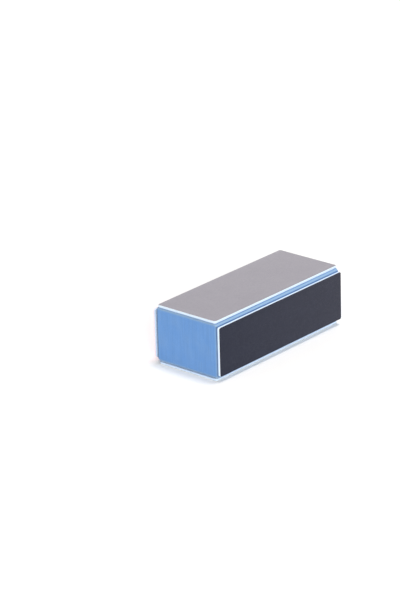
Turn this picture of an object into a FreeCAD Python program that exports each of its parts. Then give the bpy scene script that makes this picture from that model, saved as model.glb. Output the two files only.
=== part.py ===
import FreeCAD, Part
import os

# Hand-held nail buffer block: a closed-cell foam core with a laminated abrasive strip glued to each
# of its four long faces. Millimetres, X along the block, Y across it, +Z up. The origin is at the
# middle of the underside, on the surface that the block rests on.

# Driving dimensions
BLOCK_LENGTH = 95.0  # the core's cut length, along X
BLOCK_WIDTH = 42.2  # over the two side strips, along Y
BLOCK_HEIGHT = 31.4  # over the top and bottom strips, along Z
STRIP_THICKNESS = 1.4  # the whole laminate, from the core's face to the working surface
WIDE_STRIP_WIDTH = 36.8  # the strips above and below
NARROW_STRIP_WIDTH = 25.4  # the strips on the two sides
STRIP_END_INSET = 0.3  # how far each end of a strip stops short of the core's end
STRIP_CORNER_RADIUS = 1.0  # the corners of a die-cut strip, seen square on
LONG_EDGE_RADIUS = 1.2  # the core's four long edges, between the strips
END_EDGE_RADIUS = 0.8  # the soft edge round each cut end of the core

# Layers of a strip. The grit is coarser, and so thicker, on the faces used first, and the foam
# pad takes up what the other layers leave of the strip's thickness.
CORE_ADHESIVE_THICKNESS = 0.10
SHEET_ADHESIVE_THICKNESS = 0.05
CARRIER_SHEET_THICKNESS = 0.15
FILE_GRIT_THICKNESS = 0.20
SMOOTH_GRIT_THICKNESS = 0.15
BUFF_GRIT_THICKNESS = 0.10
SHINE_GRIT_THICKNESS = 0.05

# Derived dimensions
CORE_WIDTH = BLOCK_WIDTH - 2 * STRIP_THICKNESS
CORE_HEIGHT = BLOCK_HEIGHT - 2 * STRIP_THICKNESS
STRIP_LENGTH = BLOCK_LENGTH - 2 * STRIP_END_INSET
X_AXIS = FreeCAD.Vector(1, 0, 0)
Z_AXIS = FreeCAD.Vector(0, 0, 1)
BLOCK_CENTRE = FreeCAD.Vector(0, 0, BLOCK_HEIGHT / 2)

# Each face: its name, the turn about X that brings a level strip to it, the strip's width, the
# core's depth under it and its grit's thickness. A block is worked from file round to shine.
FACES = [
    ("file", 90, NARROW_STRIP_WIDTH, CORE_WIDTH / 2, FILE_GRIT_THICKNESS),
    ("smooth", 270, NARROW_STRIP_WIDTH, CORE_WIDTH / 2, SMOOTH_GRIT_THICKNESS),
    ("buff", 180, WIDE_STRIP_WIDTH, CORE_HEIGHT / 2, BUFF_GRIT_THICKNESS),
    ("shine", 0, WIDE_STRIP_WIDTH, CORE_HEIGHT / 2, SHINE_GRIT_THICKNESS),
]


def centred_box(length, width, height):
    """A plain box with its middle at the origin."""
    return Part.makeBox(length, width, height, FreeCAD.Vector(-length / 2, -width / 2, -height / 2))


def edges_along(shape, direction):
    """The shape's straight edges that run along a direction."""
    found = []
    for edge in shape.Edges:
        run = edge.lastVertex().Point - edge.firstVertex().Point
        if run.cross(direction).Length < 1e-6 * run.Length:
            found.append(edge)
    return found


def end_edges(shape, length):
    """The edges that lie in the two end planes of a shape centred on the origin."""
    end_plane = length / 2 - 0.001
    far_end = [edge for edge in shape.Edges if edge.BoundBox.XMin > end_plane]
    near_end = [edge for edge in shape.Edges if edge.BoundBox.XMax < -end_plane]
    return far_end + near_end


def make_core():
    """The foam block, with rounded long edges and a softer edge round each end."""
    block = centred_box(BLOCK_LENGTH, CORE_WIDTH, CORE_HEIGHT)
    block = block.makeFillet(LONG_EDGE_RADIUS, edges_along(block, X_AXIS))
    block = block.makeFillet(END_EDGE_RADIUS, end_edges(block, BLOCK_LENGTH))
    block.translate(BLOCK_CENTRE)
    return block


def make_layer(width, thickness, depth_below, turn):
    """One layer of a strip, its inner side depth_below from the block's middle, turned to its face."""
    layer = centred_box(STRIP_LENGTH, width, thickness)
    layer = layer.makeFillet(STRIP_CORNER_RADIUS, edges_along(layer, Z_AXIS))
    layer.translate(FreeCAD.Vector(0, 0, depth_below + thickness / 2))
    layer.rotate(FreeCAD.Vector(0, 0, 0), X_AXIS, turn)
    layer.translate(BLOCK_CENTRE)
    return layer


def strip_layers(grit_thickness):
    """A strip's layers and their thicknesses, from the core outwards."""
    skin = SHEET_ADHESIVE_THICKNESS + CARRIER_SHEET_THICKNESS + grit_thickness
    return [
        ("core_adhesive", CORE_ADHESIVE_THICKNESS),
        ("foam_pad", STRIP_THICKNESS - CORE_ADHESIVE_THICKNESS - skin),
        ("sheet_adhesive", SHEET_ADHESIVE_THICKNESS),
        ("carrier_sheet", CARRIER_SHEET_THICKNESS),
        ("grit_coat", grit_thickness),
    ]


def make_pieces():
    """Every piece of the block, by name."""
    pieces = {"foam_core": make_core()}
    for face, turn, width, core_depth, grit_thickness in FACES:
        depth = core_depth
        for layer, thickness in strip_layers(grit_thickness):
            pieces[f"{face}_{layer}"] = make_layer(width, thickness, depth, turn)
            depth += thickness
    return pieces


os.makedirs("parts", exist_ok=True)
for name, shape in make_pieces().items():
    shape.exportStep(f"parts/{name}.step")
    print(f"{name}: {shape.Volume:.1f} mm3, valid {shape.isValid()}")
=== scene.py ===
# %% [markdown]
# # A nail buffer block, from frame to finish
#
# A nail buffer block is a bar of closed-cell foam with an abrasive strip glued to each long face.
# Each strip is a sandwich: a sheet of white foam, a sheet of paper and a coat of coloured grit.
# The frame loaded here already holds every layer at its real size and place, in metres, with X
# along the block and Z up. This lesson gives the layers their looks: foam with cells, grit with
# grain, and soft light to see them by. The paper and the glue keep the frame's own shapes. The
# foams and the grit coats are grown again as fine skins, because a flat box can't hold the small
# pits, waves and rubbed edges that make foam look like foam.

# %% Open the frame
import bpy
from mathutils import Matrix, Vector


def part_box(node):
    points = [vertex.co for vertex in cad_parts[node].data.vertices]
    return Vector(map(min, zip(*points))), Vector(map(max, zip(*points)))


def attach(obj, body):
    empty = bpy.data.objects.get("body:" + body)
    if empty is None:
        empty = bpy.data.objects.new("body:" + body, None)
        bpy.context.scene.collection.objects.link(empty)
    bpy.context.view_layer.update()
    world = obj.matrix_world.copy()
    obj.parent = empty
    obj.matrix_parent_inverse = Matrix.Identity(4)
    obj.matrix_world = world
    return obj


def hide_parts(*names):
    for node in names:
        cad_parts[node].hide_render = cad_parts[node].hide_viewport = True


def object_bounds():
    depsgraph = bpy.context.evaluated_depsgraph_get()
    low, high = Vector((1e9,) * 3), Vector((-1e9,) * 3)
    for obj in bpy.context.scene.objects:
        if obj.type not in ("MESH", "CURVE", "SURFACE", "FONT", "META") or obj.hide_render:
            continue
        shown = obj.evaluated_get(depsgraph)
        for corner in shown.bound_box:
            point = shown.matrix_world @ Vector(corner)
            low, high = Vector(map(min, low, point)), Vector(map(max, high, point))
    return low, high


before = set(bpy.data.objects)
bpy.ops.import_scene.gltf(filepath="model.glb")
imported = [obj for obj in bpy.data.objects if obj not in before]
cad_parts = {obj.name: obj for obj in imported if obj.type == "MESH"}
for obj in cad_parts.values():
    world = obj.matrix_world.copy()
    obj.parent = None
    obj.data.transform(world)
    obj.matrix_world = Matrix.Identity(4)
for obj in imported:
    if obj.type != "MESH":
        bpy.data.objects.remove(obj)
print("layers in the frame:", len(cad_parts))

# %% [markdown]
# The block is about as long as a finger, so lengths here are easiest to read in millimetres.
# Blender works in metres, and one named value, MM, turns one into the other. The frame's own box
# is kept now, before anything is added, and its middle is where the block is built and looked at.

# %% Tools and units
import math

import bmesh
import bpy
from mathutils import Color, Matrix, Vector, noise

MM = 0.001
frame_low, frame_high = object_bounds()
block_centre = (frame_low + frame_high) / 2
print("block in mm:", [round(side / MM, 1) for side in frame_high - frame_low])

# %% [markdown]
# ## Camera
#
# A small thing can be shot from close by with a short lens, but then its near corner swells. A
# long lens from well over a metre away keeps the edges nearly parallel, as a catalogue shows goods.
# The camera looks at the corner between the near-black side and a blue end, from a little above.
# It is turned in three steps: round the block, down, and a slight roll. The block stands right of
# the view's middle and a little below it, so the camera is then moved left and up along its own
# axes. Moving it this way, and not turning it, keeps the same faces in view.

# %% Camera
VIEW_ROUND = math.radians(-48.6)
VIEW_DOWN = math.radians(21.6)
VIEW_ROLL = math.radians(-1.7)
VIEW_DISTANCE = 1.387
BLOCK_TO_RIGHT = 24.5 * MM
BLOCK_BELOW = 6.9 * MM
LENS_LENGTH = 167  # in mm, as lenses are sold

turn_round = Matrix.Rotation(VIEW_ROUND, 4, "Z")
tip_down = Matrix.Rotation(math.pi / 2 - VIEW_DOWN, 4, "X")
roll = Matrix.Rotation(VIEW_ROLL, 4, "Z")
heading = turn_round @ tip_down @ roll
shift = heading @ Vector((-BLOCK_TO_RIGHT, BLOCK_BELOW, VIEW_DISTANCE))

lens = bpy.data.cameras.new("camera")
lens.lens = LENS_LENGTH
lens.clip_start = 0.01
lens.clip_end = 50
camera = bpy.data.objects.new("camera", lens)
camera.matrix_world = Matrix.Translation(block_centre + shift) @ heading
bpy.context.scene.collection.objects.link(camera)
bpy.context.scene.camera = camera
print("camera stands at:", [round(part, 3) for part in camera.matrix_world.translation])

# %% [markdown]
# ## Light
#
# A white studio lights small goods from everywhere at once: the walls glow, a large softbox hangs
# overhead, a second one stands low, beside the camera, and a weaker third one stands opposite it,
# so that the far faces keep their colours when the block is seen from behind. The glowing walls
# are the world background. Area lamps would be the first choice for the softboxes, but their
# light falls off with distance, and the floor behind the block would turn grey. A Sun lamp lights
# the whole floor alike, so the floor stays white to the top of the view. A Sun's angle is how wide
# the softbox looks from the block: a wide one blurs the shadow at the block's foot. The plain
# Standard view keeps the colours as they are mixed, with no film curve.

# %% Light
WALL_GLOW = 0.42  # as a share of full white


def add_softbox(name, around, up, width, share):
    """A far softbox: its direction and width in degrees, and the share of full white it adds."""
    lamp = bpy.data.lights.new(name, "SUN")
    lamp.angle = math.radians(width)
    lamp.energy = share * math.pi
    box = bpy.data.objects.new(name, lamp)
    turn = Matrix.Rotation(math.radians(around), 4, "Z")
    tip = Matrix.Rotation(math.radians(90 - up), 4, "X")
    box.matrix_world = turn @ tip
    bpy.context.scene.collection.objects.link(box)
    print(f"{name}: {width} degrees wide, adds {share:.2f} of white")


walls = bpy.data.worlds.new("white_walls")
walls.use_nodes = True
glow = walls.node_tree.nodes["Background"]
glow.inputs["Color"].default_value = (1, 1, 1, 1)
glow.inputs["Strength"].default_value = WALL_GLOW
bpy.context.scene.world = walls
bpy.context.scene.view_settings.view_transform = "Standard"

add_softbox("overhead_softbox", around=60, up=82.5, width=20, share=0.60)
add_softbox("camera_softbox", around=-40, up=18, width=34, share=0.78)
add_softbox("rear_softbox", around=140, up=4, width=30, share=0.34)

# %% [markdown]
# ## Floor
#
# The block lies on a smooth white sweep, which in a studio is paper that curves up into the wall.
# Here one large level square is enough: the camera looks down at it, so it fills the view, and
# only the soft contact shadow has to show on it.

# %% Floor
FLOOR_REACH = 6.0
FLOOR_WHITE = (0.88, 0.87, 0.86, 1)

floor_mesh = bpy.data.meshes.new("floor")
floor_corners = [(x, y, 0) for x, y in ((-1, -1), (1, -1), (1, 1), (-1, 1))]
floor_mesh.from_pydata([Vector(corner) * FLOOR_REACH for corner in floor_corners], [], [(0, 1, 2, 3)])
floor = bpy.data.objects.new("floor", floor_mesh)
bpy.context.scene.collection.objects.link(floor)

floor_finish = bpy.data.materials.new("white_floor")
floor_finish.use_nodes = True
floor_shader = floor_finish.node_tree.nodes["Principled BSDF"]
floor_shader.inputs["Base Color"].default_value = FLOOR_WHITE
floor_shader.inputs["Roughness"].default_value = 0.9
floor_shader.inputs["Specular IOR Level"].default_value = 0.1
floor_mesh.materials.append(floor_finish)
print("floor reaches", FLOOR_REACH, "m each way")

# %% [markdown]
# ## Helpers for finishes
#
# A finish could be an image wrapped round the piece, but it would need unwrapping and would blur
# close up. Every finish here is a tree of nodes instead: it works from the place on the block, so
# it has the same scale on every piece and stays sharp. Each tree ends in one Principled shader.
# Three short helpers keep the trees readable. The first adds a node and joins or sets its inputs.
# The second gives the place on the block, counted in cells or grains of a chosen size, so a
# pattern's scale is given in millimetres. The third adds a layer of bump, and layers add up.

# %% Helpers for finishes
def add_node(material, kind, inputs=None, **settings):
    """Adds a shader node. An input is another node's output, to be joined, or a plain value."""
    node = material.node_tree.nodes.new("ShaderNode" + kind)
    for setting, value in settings.items():
        setattr(node, setting, value)
    for socket, value in (inputs or {}).items():
        if isinstance(value, bpy.types.NodeSocket):
            material.node_tree.links.new(value, node.inputs[socket])
        else:
            node.inputs[socket].default_value = value
    return node


def place_in(material, *sizes):
    """The place on the block, counted in steps of one size in metres, or of one for each axis."""
    steps = sizes * 3 if len(sizes) == 1 else sizes
    place = add_node(material, "TexCoord").outputs["Object"]
    scale = [1 / step for step in steps]
    return add_node(material, "Mapping", {"Vector": place, "Scale": scale}).outputs["Vector"]


def add_bump(material, height, depth):
    """Adds a layer of bump as deep as depth, in metres, on top of any layer already there."""
    shader = material.node_tree.nodes["Principled BSDF"]
    bump = add_node(material, "Bump", {"Height": height, "Distance": depth})
    for link in list(shader.inputs["Normal"].links):
        material.node_tree.links.new(link.from_socket, bump.inputs["Normal"])
    material.node_tree.links.new(bump.outputs["Normal"], shader.inputs["Normal"])


print("helpers ready: add_node, place_in, add_bump")

# %% [markdown]
# The next helpers make the patterns: soft clouds of noise, and a Voronoi pattern of cells, which
# serves both for the bubbles of a foam and for the grains of a grit. A mesh can carry values of
# its own too, such as how worn an edge is, and the last helper reads one.

# %% Helpers for patterns
CLOUD_LOW = 0.3
CLOUD_HIGH = 0.7


def clouds_in(material, detail, *sizes):
    """Soft clouds from about CLOUD_LOW to CLOUD_HIGH, of one size across or one for each axis."""
    inputs = {"Vector": place_in(material, *sizes), "Scale": 1.0, "Detail": detail}
    return add_node(material, "TexNoise", inputs).outputs["Fac"]


def cells_in(material, size, **settings):
    """A Voronoi node whose cells are one size across."""
    inputs = {"Vector": place_in(material, size), "Scale": 1.0}
    return add_node(material, "TexVoronoi", inputs, **settings)


def from_mesh(material, name):
    """A value that the mesh carries at each of its points."""
    return add_node(material, "Attribute", attribute_name=name).outputs["Fac"]


print("helpers ready: clouds_in, cells_in, from_mesh")

# %% [markdown]
# The last helpers do the mixing that all the finishes share: a colour from three 0 to 255 values,
# as on a paint card, a value moved from one range to another, a value multiplied, and two colours
# blended by a value.

# %% Helpers for mixing
def tone(red, green, blue):
    """A colour given as on a paint card, turned into the linear light that shaders use."""
    linear = Color((red / 255, green / 255, blue / 255)).from_srgb_to_scene_linear()
    return (*linear, 1)


def move_range(material, value, low, high, new_low, new_high):
    """The value, with low to high moved to new_low to new_high and nothing past them."""
    limits = {"Value": value, 1: low, 2: high, 3: new_low, 4: new_high}
    return add_node(material, "MapRange", limits).outputs["Result"]


def times(material, value, by):
    """The value multiplied by another, or by a plain number."""
    return add_node(material, "Math", {0: value, 1: by}, operation="MULTIPLY").outputs["Value"]


def blend(material, share, first, second, how="MIX"):
    """Two colours, blended by a share from 0, all first, to 1, all second."""
    inputs = {0: share, 6: first, 7: second}
    return add_node(material, "Mix", inputs, data_type="RGBA", blend_type=how).outputs[2]


def start_finish(name, roughness, gloss):
    """A new material, and its Principled shader with the roughness and gloss set."""
    material = bpy.data.materials.new(name)
    material.use_nodes = True
    shader = material.node_tree.nodes["Principled BSDF"]
    shader.inputs["Roughness"].default_value = roughness
    shader.inputs["Specular IOR Level"].default_value = gloss
    return material, shader


print("a mid blue in linear light:", [round(part, 3) for part in tone(110, 155, 211)])

# %% [markdown]
# ## Foam finish
#
# Closed-cell foam is a froth of tiny bubbles, set hard enough to cut. A cut goes through the
# bubbles, so the surface is a net of thin walls round shallow pits. The bubbles are too fine to
# model one by one, and a Voronoi pattern is just such a net. The pits are a little darker than
# the walls, as painted shade, and broad clouds keep the colour from being flat. Three things then
# depend on where the surface is: rounded edges are paler, partly scuffed and partly as a painted
# highlight, the cut ends carry fine upright marks from the blade, and the seams beside the strips
# are darkened with painted shade. The mesh says where each of them is, by values that are made
# further down. The white backing is the same kind of foam with smaller cells.

# %% Foam finish
# Painted shade for the seams beside the strips, a darker blue.
SEAM_SHADE = tone(66, 98, 140)
PIT_SHADE_SHARE = 0.5  # how much of the painted pit shade the middle of a pit takes
CLOUD_SHARE = 0.10  # how much of the scuffed colour a cloud takes
WORN_AND_HIGHLIT_SHARE = 0.85  # how much of it the roundest edge takes
BLADE_MARK_SHADE = 0.04  # how much a blade mark lightens or darkens the ends
THINNEST_SEAM_SHADE = 0.6  # the share of the painted seam shade that stays where the clouds make it thinnest
PIT_CURVE = 0.6  # below 1, pits have wide floors and narrow walls
PIT_BUMP = 0.22  # a pit's depth, in cell widths
BLADE_MARK_BUMP = 0.25 * MM


def foam_colour(foam, depth, marks, body, pit_shade, scuff_and_highlight):
    """The foam's colour: body on walls, painted shade in pits and seams, scuffed clouds, scuffed and
    painted-highlit edges.
    """
    clouds = clouds_in(foam, 4.0, 5 * MM)
    # Painted shade: the pits are darkened towards the pit colour.
    pit_shading = move_range(foam, depth, 0.2, 1.0, 0.0, PIT_SHADE_SHARE)
    colour = blend(foam, pit_shading, body, pit_shade)
    cloudy = move_range(foam, clouds, CLOUD_LOW, CLOUD_HIGH, 0.0, CLOUD_SHARE)
    colour = blend(foam, cloudy, colour, scuff_and_highlight)
    colour = blend(foam, 1.0, colour, marks, "MULTIPLY")
    # Rounded edges turn paler: partly scuff wear, partly a painted highlight on the rounding.
    worn_and_highlit = times(foam, from_mesh(foam, "soft_edge"), WORN_AND_HIGHLIT_SHARE)
    colour = blend(foam, worn_and_highlit, colour, scuff_and_highlight)
    # Painted shade in the seams beside the strips, made patchy by the clouds.
    patchy = move_range(foam, clouds, CLOUD_LOW, CLOUD_HIGH, THINNEST_SEAM_SHADE, 1.0)
    return blend(foam, times(foam, from_mesh(foam, "seam_shade"), patchy), colour, SEAM_SHADE)


def foam_finish(name, body, pit_shade, scuff_and_highlight, cell):
    """Cut closed-cell foam: colours of body, painted pit shade and scuff with painted highlight; cell
    is a cell's width.
    """
    foam, shader = start_finish(name, roughness=0.8, gloss=0.35)
    net = cells_in(foam, cell, feature="DISTANCE_TO_EDGE").outputs["Distance"]
    depth = move_range(foam, net, 0.0, 0.45, 0.0, 1.0)
    depth = add_node(foam, "Math", {0: depth, 1: PIT_CURVE}, operation="POWER").outputs["Value"]
    upright = clouds_in(foam, 3.0, 9 * MM, 0.5 * MM, 16 * MM)
    marks = times(foam, move_range(foam, upright, 0.35, 0.65, -0.5, 0.5), from_mesh(foam, "cut_end"))
    marks = move_range(foam, marks, -0.5, 0.5, 1 - BLADE_MARK_SHADE, 1 + BLADE_MARK_SHADE)

    colour = foam_colour(foam, depth, marks, body, pit_shade, scuff_and_highlight)
    foam.node_tree.links.new(colour, shader.inputs["Base Color"])
    rough = move_range(foam, depth, 0.0, 1.0, 0.7, 0.9)
    foam.node_tree.links.new(rough, shader.inputs["Roughness"])
    add_bump(foam, depth, -PIT_BUMP * cell)
    add_bump(foam, marks, BLADE_MARK_BUMP)
    return foam


# The pit colour is painted shade, and the scuffed colour is both scuff wear and a painted edge
# highlight.
blue_foam = foam_finish(
    "cut_blue_foam",
    body=tone(100, 146, 202),
    pit_shade=tone(76, 120, 182),
    scuff_and_highlight=tone(148, 171, 188),
    cell=0.26 * MM,
)
white_foam = foam_finish(
    "cut_white_foam",
    body=tone(205, 223, 245),
    pit_shade=tone(170, 194, 224),
    scuff_and_highlight=tone(216, 232, 250),
    cell=0.18 * MM,
)
print("foams:", blue_foam.name, "and", white_foam.name)

# %% [markdown]
# ## Grit finish
#
# A grit coat is sharp grains set in coloured resin. Thousands of separate grains could be
# scattered on it, but at this scale each is smaller than a dot of print, so a pattern does the
# work. Voronoi cells stand for the grains: each has its own brightness and a raised middle. A few
# grains catch the light as a glint, which here is a lower roughness. Broad clouds and small
# flecks show where the resin ran thicker or thinner, a painted sheen makes a face paler towards its
# far end, and the crushed grains along the rim are darker. The file has grains
# that show. On the shine face they are too fine to see, and only a satin bloom is left.

# %% Grit finish
# Painted sheen: the pale colour that a face takes towards its far end.
FAR_END_SHEEN = tone(172, 168, 174)
CLOUDS_FAINTER = 9  # how many times fainter the broad clouds are than the grains' own contrast
FLECKS_FAINTER = 8
CRUSHED_SHARE = 0.4  # how much of the rim's colour the very edge takes
GLINT_FROM = 0.93  # grains with a shade above this start to glint
GLINT_FULL = 0.97
GRAIN_BUMP = 0.25  # how far a grain stands up, in grain widths


def grit_colour(grit, own_shade, resin, bright, rim_tone, contrast, dust_and_sheen):
    """The coat's colour: resin to bright by the grain, then clouds, painted sheen, flecks and the
    rim.
    """
    uneven = contrast / CLOUDS_FAINTER
    fleck = contrast / FLECKS_FAINTER
    colour = blend(grit, move_range(grit, own_shade, 0.0, 1.0, 0.0, contrast), resin, bright)
    clouds = clouds_in(grit, 5.0, 7 * MM)
    clouds = move_range(grit, clouds, CLOUD_LOW, CLOUD_HIGH, 1 - uneven, 1 + uneven)
    colour = blend(grit, 1.0, colour, clouds, "MULTIPLY")
    # A painted sheen makes the face paler towards its far end.
    along = add_node(grit, "SeparateXYZ", {"Vector": place_in(grit, 1.0)}).outputs["X"]
    far_sheen = move_range(grit, along, frame_low.x, frame_high.x, 0.0, dust_and_sheen)
    colour = blend(grit, far_sheen, colour, FAR_END_SHEEN)
    flecks = move_range(grit, clouds_in(grit, 3.0, 1.2 * MM), 0.35, 0.65, 1 - fleck, 1 + fleck)
    colour = blend(grit, 1.0, colour, flecks, "MULTIPLY")
    crushed = times(grit, from_mesh(grit, "soft_edge"), CRUSHED_SHARE)
    return blend(grit, crushed, colour, rim_tone)


def grit_finish(name, resin, bright, rim_tone, grain, contrast, roughness, glint, dust_and_sheen=0.0):
    """Grit in resin: resin, bright and rim_tone are its colours, and grain is a grain's width."""
    grit, shader = start_finish(name, roughness, gloss=0.22)
    grains = cells_in(grit, grain)
    own_shade = add_node(grit, "SeparateColor", {"Color": grains.outputs["Color"]}).outputs["Red"]
    colour = grit_colour(grit, own_shade, resin, bright, rim_tone, contrast, dust_and_sheen)
    grit.node_tree.links.new(colour, shader.inputs["Base Color"])
    glinting = move_range(grit, own_shade, GLINT_FROM, GLINT_FULL, roughness, glint)
    grit.node_tree.links.new(glinting, shader.inputs["Roughness"])
    facets = move_range(grit, grains.outputs["Distance"], 0.0, 0.7, 1.0, 0.0)
    add_bump(grit, facets, GRAIN_BUMP * grain)
    return grit


print("grit finishes go from resin to bright by the grain")

# %% [markdown]
# The four coats differ only in colour, in the width of a grain, and in how much one grain stands
# out from the next. A block is worked from the coarse file, through smooth and buff, to shine.

# %% Four grit finishes
grit_finishes = {
    "file": grit_finish(
        "file_grit_coat",
        resin=tone(32, 35, 49),
        bright=tone(60, 63, 79),
        rim_tone=tone(18, 22, 34),
        grain=0.16 * MM,
        contrast=0.35,
        roughness=0.75,
        glint=0.3,
        # share of the painted sheen at the far end of the face
        dust_and_sheen=0.035,
    ),
    "smooth": grit_finish(
        "smooth_grit_coat",
        resin=tone(228, 122, 169),
        bright=tone(244, 152, 192),
        rim_tone=tone(214, 104, 154),
        grain=0.12 * MM,
        contrast=0.2,
        roughness=0.75,
        glint=0.4,
    ),
    "buff": grit_finish(
        "buff_grit_coat",
        resin=tone(184, 206, 195),
        bright=tone(202, 220, 210),
        rim_tone=tone(170, 196, 188),
        grain=0.09 * MM,
        contrast=0.2,
        roughness=0.7,
        glint=0.45,
    ),
    "shine": grit_finish(
        "shine_grit_coat",
        resin=tone(143, 139, 146),
        bright=tone(149, 145, 152),
        rim_tone=tone(129, 130, 140),
        grain=0.07 * MM,
        contrast=0.2,
        roughness=0.6,
        glint=0.5,
        # share of the painted sheen at the far end of the face
        dust_and_sheen=0.12,
    ),
}
print("grits:", ", ".join(grit_finishes))

# %% [markdown]
# ## Paper and adhesive
#
# Two layers are too thin for more than a line of colour at a strip's edge. The carrier sheet is
# latex-filled paper, with fibres that lie along it, so its clouds are stretched along the block.
# The adhesive could be a clear, see-through film. It is only a tenth of a millimetre of edge
# between two foams, though, and real films gather dust there, so a pale tone with grey patches,
# glossier than the foam, looks truer and renders faster.

# %% Paper and adhesive
FIBRE_BUMP = 0.03 * MM
DUST_BUMP = 0.02 * MM


def paper_finish():
    """Off-white latex-filled paper with fibres along the strip."""
    paper, shader = start_finish("fibrous_paper", roughness=0.8, gloss=0.3)
    fibres = clouds_in(paper, 4.0, 1.5 * MM, 0.1 * MM, 0.1 * MM)
    share = move_range(paper, fibres, CLOUD_LOW, CLOUD_HIGH, 0.0, 1.0)
    colour = blend(paper, share, tone(214, 220, 228), tone(240, 243, 246))
    paper.node_tree.links.new(colour, shader.inputs["Base Color"])
    rough = move_range(paper, fibres, CLOUD_LOW, CLOUD_HIGH, 0.7, 0.9)
    paper.node_tree.links.new(rough, shader.inputs["Roughness"])
    add_bump(paper, fibres, FIBRE_BUMP)
    return paper


def adhesive_finish():
    """A clear adhesive film, seen edge on between two foams, with dust caught in it."""
    film, shader = start_finish("dusty_adhesive", roughness=0.4, gloss=0.5)
    dust_and_sheen = clouds_in(film, 5.0, 0.4 * MM)
    share = move_range(film, dust_and_sheen, 0.4, 0.65, 0.0, 1.0)
    colour = blend(film, share, tone(206, 220, 234), tone(160, 182, 206))
    film.node_tree.links.new(colour, shader.inputs["Base Color"])
    rough = move_range(film, dust_and_sheen, 0.4, 0.65, 0.35, 0.7)
    film.node_tree.links.new(rough, shader.inputs["Roughness"])
    add_bump(film, dust_and_sheen, DUST_BUMP)
    return film


latex_paper = paper_finish()
adhesive_film = adhesive_finish()
print("thin layers:", latex_paper.name, "and", adhesive_film.name)

# %% [markdown]
# ## Growing a skin
#
# The foam block, the white backings and the grit coats are all boxes at heart, and each needs a
# fine, even skin of small faces wherever it shows, so that pits and grains can be raised on it.
# Subdividing a cube would put as many faces on the hidden sides, and a bevel would leave long thin
# ones, so the skin is laid over a grid of lines instead. A rule says which faces to make, because
# what is glued under another layer never shows. The first two helpers place the lines, closer
# together near the rims.

# %% Lines of a skin
def even_steps(low, high, step):
    """Evenly spaced places from low to high, about step apart."""
    count = max(1, round((high - low) / step))
    return [low + (high - low) * k / count for k in range(count + 1)]


def grid_lines(half, rim, rim_step, step):
    """Lines from -half to half, rim_step apart over a rim at each end and step apart between."""
    outer = even_steps(half - rim, half, rim_step)
    middle = even_steps(rim - half, half - rim, step)
    return [-place for place in reversed(outer)] + middle[1:-1] + outer


def face_ring(axis, side, i, j):
    """The four grid corners round one face, as line numbers on each axis, in order."""
    ring = []
    for di, dj in ((0, 0), (1, 0), (1, 1), (0, 1)):
        key = [0, 0, 0]
        key[axis], key[(axis + 1) % 3], key[(axis + 2) % 3] = side, i + di, j + dj
        ring.append(tuple(key))
    return ring if side else ring[::-1]


print("a 10 mm side in 0.3 mm steps:", len(even_steps(0, 10 * MM, 0.3 * MM)), "lines")

# %% [markdown]
# The next helper walks over the six sides of a box and keeps the faces that show. Two faces that
# meet share their corners, so that the skin is one piece with no slits: each corner gets a number
# the first time it is met, and the same number from then on.

# %% Faces of a skin
def grid_skin(lines, shows):
    """Corners and four-sided faces of a box's skin, where shows(axis, middle of the face) is true."""
    number_of = {}
    faces = []
    for axis in range(3):
        across, along = (axis + 1) % 3, (axis + 2) % 3
        for side in (0, len(lines[axis]) - 1):
            for i in range(len(lines[across]) - 1):
                for j in range(len(lines[along]) - 1):
                    middle = [0.0, 0.0, 0.0]
                    middle[axis] = lines[axis][side]
                    middle[across] = (lines[across][i] + lines[across][i + 1]) / 2
                    middle[along] = (lines[along][j] + lines[along][j + 1]) / 2
                    if shows(axis, middle):
                        ring = face_ring(axis, side, i, j)
                        faces.append([number_of.setdefault(key, len(number_of)) for key in ring])
    corners = [Vector([lines[k][key[k]] for k in range(3)]) for key in number_of]
    return corners, faces


cube_lines = [even_steps(0, 1, 0.5)] * 3
print("a cube, two faces a side:", len(grid_skin(cube_lines, lambda axis, middle: True)[1]), "faces")

# %% [markdown]
# The last helper makes the piece. It moves every corner of the grid to its rounded place and then
# pushes it in or out for relief. It writes three values at each point for the finishes: how
# rounded the edge is, how squarely the surface faces along the block, and how much painted shade
# it takes near a seam. Whatever the rule left open is closed with one flat face, so that every piece
# is a solid.

# %% Growing a piece
SHARP_FROM = math.radians(50)  # an edge that turns by more than this stays crisp


def facing_end(out):
    """From 0 for a surface that faces across the block to 1 for one that faces along it."""
    return abs(out.x) ** 4


def carry(mesh, name, values):
    """Writes one value per point into the mesh, under a name that the finishes read."""
    mesh.attributes.new(name, "FLOAT", "POINT").data.foreach_set("value", values)


def close_holes(mesh):
    """Closes each hole in the mesh with one face and turns every face outwards."""
    solid = bmesh.new()
    solid.from_mesh(mesh)
    bmesh.ops.holes_fill(solid, edges=[edge for edge in solid.edges if edge.is_boundary], sides=0)
    bmesh.ops.recalc_face_normals(solid, faces=solid.faces)
    solid.to_mesh(mesh)
    solid.free()


def grow_piece(name, lines, shows, shape, relief, seam_shade=lambda place: 0.0):
    """A closed piece over a grid of lines. shape(corner) gives its rounded place, the way out
    from there and how round the edge is. relief(place, out) is how far to push it out, and the
    last function gives how much painted seam shade a place takes, from 0 to 1."""
    corners, faces = grid_skin(lines, shows)
    shaped = [shape(corner) for corner in corners]
    mesh = bpy.data.meshes.new(name)
    mesh.from_pydata([place + out * relief(place, out) for place, out, _ in shaped], [], faces)
    carry(mesh, "soft_edge", [roundness for _, _, roundness in shaped])
    carry(mesh, "cut_end", [facing_end(out) for _, out, _ in shaped])
    carry(mesh, "seam_shade", [seam_shade(place) for place, _, _ in shaped])
    close_holes(mesh)
    mesh.shade_smooth()
    mesh.set_sharp_from_angle(angle=SHARP_FROM)
    piece = bpy.data.objects.new(name, mesh)
    bpy.context.scene.collection.objects.link(piece)
    return piece


print("helpers ready: facing_end, carry, close_holes, grow_piece")

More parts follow.
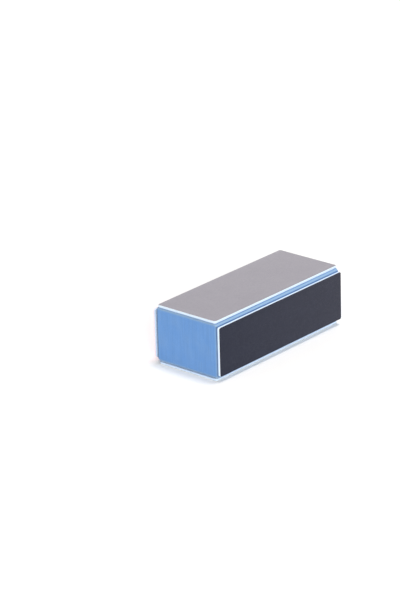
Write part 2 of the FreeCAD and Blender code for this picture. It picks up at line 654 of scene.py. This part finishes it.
# %% [markdown]
# ## The blue foam block
#
# The core is a bar of foam cut to length with a blade. Its long edges are rounded, and the blade
# leaves a softer lip round each end. A bevel has one width, but here the rounding differs along
# each axis, so a corner of the grid is split into an inner part and an offset, and the offset is
# turned onto an ellipse. The skin is fine on the two ends and along the four bare edges, and one
# flat face closes each long side under its strip.

# %% Shape of the blue foam block
core_low, core_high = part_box("foam_core")
core_half = (core_high - core_low) / 2
wide_strip_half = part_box("shine_foam_pad")[1] - block_centre
narrow_strip_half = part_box("smooth_foam_pad")[1] - block_centre
CORE_ROUNDING = Vector((0.75, 1.9, 1.8)) * MM  # along the block, across it and up
HIDDEN_MARGIN = 0.4 * MM  # how far the fine skin runs in under a strip


def core_shows(axis, middle):
    """True on the ends and along the bare edges, false under the strips."""
    if axis == 0:
        return True
    past_end = abs(middle[0]) > wide_strip_half.x - HIDDEN_MARGIN
    if axis == 1:
        return past_end or abs(middle[2]) > narrow_strip_half.z - HIDDEN_MARGIN
    return past_end or abs(middle[1]) > wide_strip_half.y - HIDDEN_MARGIN


def round_core(corner):
    """The rounded place of a corner of the grid, the way out, and how round the edge is there."""
    inner = Vector([max(-h + r, min(h - r, c)) for c, h, r in zip(corner, core_half, CORE_ROUNDING)])
    outward = Vector([(c - i) / r for c, i, r in zip(corner, inner, CORE_ROUNDING)]).normalized()
    place = inner + Vector([o * r for o, r in zip(outward, CORE_ROUNDING)])
    out = Vector([o / r for o, r in zip(outward, CORE_ROUNDING)]).normalized()
    flatness = max(abs(part) for part in outward)
    roundness = min(1.0, (1 - flatness) / (1 - math.sqrt(0.5)))
    return place, out, roundness


print("half of the core in mm:", [round(h / MM, 2) for h in core_half])

# %% [markdown]
# The relief is three small things added up. The largest opened cells leave shallow pits, cut
# foam sags in broad, faint hollows, and the blade leaves upright marks on the ends. Displacement
# in the finish could do this too, but moving the mesh itself keeps the shape wherever the block
# goes. Blender's own noise module has the patterns: Voronoi distances for the cells, plain noise
# for the sag, and noise that is stretched upright for the marks.

# %% Relief of the blue foam block
PIT_RIM = 0.8  # a pit is full depth this far from its wall, in cell widths
CORE_CELL = 1.0 * MM
CORE_PIT = 0.06 * MM
SAG_WIDTH = 9 * MM
SAG_DEPTH = 0.10 * MM
BLADE_MARK_WIDTH = 0.9 * MM
BLADE_MARK_HEIGHT = 18 * MM
BLADE_MARK_DEPTH = 0.05 * MM


def pit_depth(place, cell):
    """From 0 on a wall between cells to 1 in the middle of an opened cell."""
    distances, _ = noise.voronoi(place / cell)
    inside = min(1.0, (distances[1] - distances[0]) / PIT_RIM)
    return inside * (2 - inside)


def core_relief(place, out):
    """How far the core's skin stands out at a place; all of it goes inwards."""
    pits = CORE_PIT * pit_depth(place, CORE_CELL)
    sag = SAG_DEPTH * (0.5 + 0.5 * noise.noise(place / SAG_WIDTH))
    upright = Vector((0, place.y / BLADE_MARK_WIDTH, place.z / BLADE_MARK_HEIGHT))
    marks = BLADE_MARK_DEPTH * (0.5 + 0.5 * noise.noise(upright)) * facing_end(out)
    return -(pits + sag + marks)


print("deepest relief in mm:", round((CORE_PIT + SAG_DEPTH + BLADE_MARK_DEPTH) / MM, 2))

# %% [markdown]
# Painted shade darkens the narrow gap where the rounded foam curls in under a side strip. It is
# darkest against the strip and fades within about a millimetre. How near a place is to the
# strip is measured past its end, past its long edge, and in from the side that it is glued to.

# %% Making the blue foam block
SEAM_WIDTH = 1.1 * MM
SEAM_FADE = 0.5 * MM
PAST_END_WEIGHT = 0.4  # below 1, so the painted shade reaches further past a strip's end
PAST_EDGE_WEIGHT = 1.6  # above 1, so it reaches less far past its long edge
CORE_RIMS = (1.2 * MM, 2.2 * MM, 2.2 * MM)  # wide enough to hold the rounding
CORE_STEPS = (0.3 * MM, 0.2 * MM, 0.2 * MM)
RIM_STEP = 0.2 * MM


def core_seam_shade(place):
    """From 1 against a side strip's outline down to 0 at SEAM_WIDTH away."""
    past_end = max(0.0, abs(place.x) - wide_strip_half.x)
    under = core_half.y - abs(place.y)
    past_edge = max(0.0, abs(place.z) - narrow_strip_half.z)
    away = Vector((PAST_END_WEIGHT * past_end, under, PAST_EDGE_WEIGHT * past_edge)).length
    return max(0.0, min(1.0, (SEAM_WIDTH - away) / SEAM_FADE))


core_lines = [
    grid_lines(half, rim, RIM_STEP, step) for half, rim, step in zip(core_half, CORE_RIMS, CORE_STEPS)
]
foam_block = grow_piece("blue_foam_block", core_lines, core_shows, round_core, core_relief, core_seam_shade)
foam_block.location = block_centre
foam_block.data.materials.append(blue_foam)
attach(foam_block, "root")
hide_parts("foam_core")
print("blue foam block:", len(foam_block.data.polygons), "faces")

# %% [markdown]
# ## Laying a strip on its face
#
# The four strips could each be built in place, with the axes swapped for the side faces. It is
# simpler to build all four lying level and then turn each to its face about the block's long
# axis, just as the block is turned in the hand. The turn and the layers' sizes, which come from
# the frame, are all that differ.

# %% Laying a strip on its face
FACE_TURNS = {"file": 90, "smooth": 270, "buff": 180, "shine": 0}


def lay_on_face(face):
    """The turn that takes a level layer above the block's middle to its face."""
    turn = Matrix.Rotation(math.radians(FACE_TURNS[face]), 4, "X")
    return Matrix.Translation(block_centre) @ turn


def level_box(face, layer):
    """The half size and the middle height of a layer, as it lies level above the block's middle."""
    low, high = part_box(f"{face}_{layer}")
    back = lay_on_face(face).inverted()
    first, second = back @ low, back @ high
    half = Vector([abs(a - b) / 2 for a, b in zip(first, second)])
    return half, (first.z + second.z) / 2


for face in FACE_TURNS:
    half, height = level_box(face, "foam_pad")
    print(face, "backing in mm:", [round(2 * h / MM, 2) for h in half], "at", round(height / MM, 2))

# %% [markdown]
# ## Rounded corners
#
# A die cuts each strip with slightly rounded corners. A square grid fits such an outline if its
# corner squares are squeezed into quarter discs: each point keeps its direction from the corner's
# centre, and moves in until the square's edge lies on the arc. This keeps the faces even, where
# trimming the grid with a curve would leave slivers.

# %% Rounded corners
STRIP_CORNER = 1.0 * MM


def squeeze_corner(corner, half):
    """A level grid corner moved so that the outline has rounded corners, and its inner point."""
    straight = [h - STRIP_CORNER for h in half.xy]
    inner = Vector([max(-s, min(s, c)) for c, s in zip(corner.xy, straight)])
    offset = corner.xy - inner
    if offset.x and offset.y:
        offset *= max(abs(offset.x), abs(offset.y)) / offset.length
    return inner + offset, inner


def way_out(place, inner, half):
    """The level direction straight out of the outline, and how far inside it the place is."""
    reach = [abs(p) - (h - STRIP_CORNER) for p, h in zip(place, half.xy)]
    if reach[0] > 0 and reach[1] > 0:
        offset = place - inner
        return offset.normalized(), STRIP_CORNER - offset.length
    if reach[0] > reach[1]:
        return Vector((math.copysign(1, place.x), 0)), STRIP_CORNER - reach[0]
    return Vector((0, math.copysign(1, place.y))), STRIP_CORNER - reach[1]


print("strip corners are rounded to", round(STRIP_CORNER / MM, 2), "mm")

# %% [markdown]
# ## White foam backings
#
# The backing is what shows as a white line round each strip. Its upper and lower sides are glued,
# so only its edge is built fine. The edge was cut with the strip: it leans out a little at the
# bottom, where the blade pushed it, bows in the middle where the foam sprang back, wanders a
# little along its length, and has the pits of the opened cells. The sliver of it that is next to
# the blue foam is darkened with painted shade. A plain ruled edge would look like card, and these
# small faults are what makes it look like foam.

# %% White foam backings
BACKING_STEP = 0.25 * MM
BACKING_ROW = 0.12 * MM
BACKING_CELL = 0.7 * MM
BACKING_PIT = 0.04 * MM
EDGE_LEAN = 0.14 * MM
EDGE_BOW = 0.05 * MM
EDGE_WANDER = 0.06 * MM
WANDER_LENGTH = 6 * MM
WANDER_APART = 40  # for each mm of height, so that each strip has its own stretch of the noise
BACKING_SHADE_REACH = 0.25 * MM  # how far the painted seam shade reaches up from the blue foam


def make_backing(face):
    """The white foam backing of one strip."""
    half, height = level_box(face, "foam_pad")

    def edge_shows(axis, middle):
        return axis != 2

    def shape(corner):
        place, inner = squeeze_corner(corner, half)
        out, _ = way_out(place, inner, half)
        return Vector((*place, corner.z)), out.to_3d(), abs(corner.z / half.z)

    def relief(place, out):
        rise = place.z / half.z
        near_end = 0.5 - 0.5 * place.x / half.x
        lean = EDGE_LEAN * near_end * (1 - rise) / 2
        bow = EDGE_BOW * (1 - rise * rise)
        own_stretch = place / WANDER_LENGTH + Vector((0, 0, WANDER_APART * height / MM))
        wander = EDGE_WANDER * noise.noise(own_stretch)
        return lean + bow + wander - BACKING_PIT * pit_depth(place, BACKING_CELL)

    # Painted shade on the bottom of the edge, where it meets the blue foam.
    def seam_shade(place):
        return max(0.0, 1 - (place.z + half.z) / BACKING_SHADE_REACH)

    lines = [
        grid_lines(half.x, STRIP_CORNER, RIM_STEP, BACKING_STEP),
        grid_lines(half.y, STRIP_CORNER, RIM_STEP, BACKING_STEP),
        even_steps(-half.z, half.z, BACKING_ROW),
    ]
    backing = grow_piece(f"{face}_white_backing", lines, edge_shows, shape, relief, seam_shade)
    backing.data.transform(lay_on_face(face) @ Matrix.Translation((0, 0, height)))
    backing.data.materials.append(white_foam)
    return backing


for face in FACE_TURNS:
    backing = make_backing(face)
    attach(backing, "root")
    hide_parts(f"{face}_foam_pad")
    print(backing.name, "has", len(backing.data.polygons), "faces")

# %% [markdown]
# ## Grit coats
#
# The working faces have real relief: spots of grains that stand up by a few hundredths of a
# millimetre on the file, and hardly at all on the shine face, over broad waves where the coat lay
# a little thicker. The finish adds the single grains on top. The rim is rubbed round, because it
# meets the nail first. The relief only goes inwards, so no grain stands above the size that the
# frame gives.

# %% Grit coats
RIM_ROUNDING = 0.05 * MM
RIM_BAND = 0.4 * MM  # how far in from the rim the grains are crushed
ON_RIM = 1e-9  # in metres; nearer to the outline than this is on it
COAT_WAVE = 6 * MM
WAVE_SHARE = 0.4  # how deep the waves are beside the spots
GRIT_RELIEF = {  # width of a raised spot, its height, and the step of the skin, in mm
    "file": (0.42, 0.050, 0.25),
    "smooth": (0.38, 0.035, 0.27),
    "buff": (0.36, 0.022, 0.28),
    "shine": (0.80, 0.006, 0.40),
}


def make_grit_coat(face):
    """The grit coat of one strip, with spots of grain raised on the working side."""
    spot, spot_height, step = (size * MM for size in GRIT_RELIEF[face])
    half, height = level_box(face, "grit_coat")
    rim = min(RIM_ROUNDING, half.z)

    def coat_shows(axis, middle):
        return axis != 2 or middle[2] > 0

    def shape(corner):
        place, inner = squeeze_corner(corner, half)
        out, inside = way_out(place, inner, half)
        inside = max(0.0, inside)
        level = corner.z
        if corner.z > 0 and inside < rim:
            level -= rim - math.sqrt(rim**2 - (rim - inside) ** 2)
        on_top = corner.z > 0 and inside > ON_RIM
        crushed = max(0.0, 1 - inside / RIM_BAND)
        return Vector((*place, level)), Vector((0, 0, 1)) if on_top else out.to_3d(), crushed

    def relief(place, out):
        spots = 0.5 - 0.5 * noise.noise(place / spot)
        waves = 0.5 - 0.5 * noise.noise(place / COAT_WAVE)
        return -spot_height * (spots + WAVE_SHARE * waves) * out.z

    lines = [
        grid_lines(half.x, STRIP_CORNER, RIM_STEP, step),
        grid_lines(half.y, STRIP_CORNER, RIM_STEP, step),
        [-half.z, half.z],
    ]
    coat = grow_piece(f"{face}_grit_face", lines, coat_shows, shape, relief)
    coat.data.transform(lay_on_face(face) @ Matrix.Translation((0, 0, height)))
    coat.data.materials.append(grit_finishes[face])
    return coat


for face in FACE_TURNS:
    coat = make_grit_coat(face)
    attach(coat, "root")
    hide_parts(f"{face}_grit_coat")
    print(coat.name, "has", len(coat.data.polygons), "faces")

# %% [markdown]
# ## Thin layers
#
# The paper and the adhesive films are cut clean and never worn, so the frame's own shapes are
# right as they are, and growing them again would add nothing. They only need their finishes in
# place of the frame's plain colours.

# %% Thin layers
LAYER_FINISHES = {
    "core_adhesive": adhesive_film,
    "sheet_adhesive": adhesive_film,
    "carrier_sheet": latex_paper,
}

for face in FACE_TURNS:
    for layer, finish in LAYER_FINISHES.items():
        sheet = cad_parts[f"{face}_{layer}"]
        sheet.data.materials.clear()
        sheet.data.materials.append(finish)
        print(sheet.name, "is finished as", finish.name)
